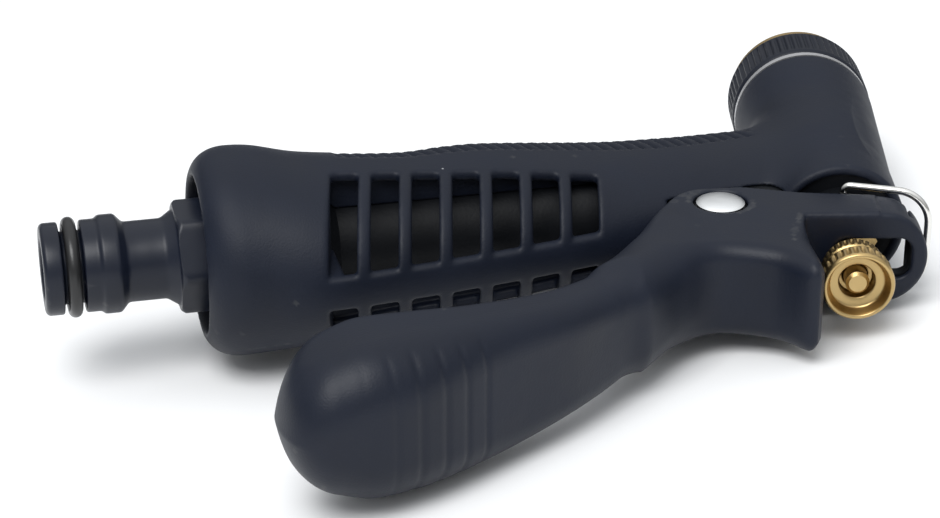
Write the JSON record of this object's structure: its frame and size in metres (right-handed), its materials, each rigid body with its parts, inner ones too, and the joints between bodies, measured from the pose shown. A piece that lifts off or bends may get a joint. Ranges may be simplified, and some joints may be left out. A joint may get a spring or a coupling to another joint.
{
  "type": "hose spray nozzle",
  "caption": "Pistol hose nozzle with a rear palm lever, vented rubber-jacketed handle, quick-connect hose nose, brass flow nut and a wire hold-open bail.",
  "frame": {"origin": "centre of the tip face of the quick-connect hose nose", "axes": "+X along the handle from the hose to the barrel, +Y the way the water leaves, +Z out of the side that faces up when the nozzle lies on its side; symmetric about Z = 0"},
  "size_m": [0.1633, 0.1227, 0.0368],
  "materials": {
    "black_rubber": "matte thermoplastic rubber, softly textured",
    "black_plastic": "satin moulded plastic",
    "seal_rubber": "smooth nitrile rubber",
    "casting_black": "zinc casting, black, bare at the socket's face and at the shoulder behind the front ring",
    "brass": "turned brass",
    "rivet_steel": "bright plated steel",
    "bright_wire": "nickel-plated wire",
    "spring_steel": "stainless spring wire"
  },
  "bodies": {
    "nozzle": {"body_casting": "casting_black", "grip_overmould": "black_rubber", "hose_adaptor": "black_plastic", "adaptor_o_ring": "seal_rubber", "inlet_washer": "seal_rubber", "spray_tip": "brass", "tip_seal": "seal_rubber", "packing_nut": "brass", "stem_packing": "seal_rubber", "gland_washer": "brass"},
    "lever": {"lever_cover": "black_rubber", "lever_core": "casting_black", "pivot_pin": "rivet_steel"},
    "stem": {"valve_stem": "brass", "washer_cup": "brass", "valve_washer": "seal_rubber", "stem_cone": "brass", "stem_spring": "spring_steel"},
    "nut": {"flow_nut": "brass"},
    "ring": {"front_ring": "black_plastic"},
    "bail": {"wire_bail": "bright_wire"}
  },
  "joints": [
    {"name": "lever_squeeze", "type": "hinge", "parent": "nozzle", "child": "lever", "pos_m": [0.1143, -0.017, 0], "axis": [0, 0, -1], "range_deg": [0, 20], "stiffness_Nm_per_rad": 0.6, "springref_deg": -20.05},
    {"name": "stem_pull", "type": "slide", "parent": "nozzle", "child": "stem", "axis": [-0.2147, -0.9767, 0], "range_m": [0, 0.0105], "deforming": ["stem_spring"]},
    {"name": "flow_nut_turn", "type": "hinge", "parent": "stem", "child": "nut", "pos_m": [0.13331, -0.03223, 0], "axis": [0.2147, 0.9767, 0], "continuous": true},
    {"name": "front_ring_turn", "type": "hinge", "parent": "nozzle", "child": "ring", "pos_m": [0.14942, 0.04102, 0], "axis": [0.2147, 0.9767, 0], "continuous": true},
    {"name": "bail_swing", "type": "hinge", "parent": "nozzle", "child": "bail", "pos_m": [0.13684, -0.01621, 0], "axis": [0, 0, 1], "range_deg": [0, 14]}
  ],
  "couplings": [
    {"joint": "stem_pull", "follows": "lever_squeeze", "m_per_rad": 0.029}
  ]
}
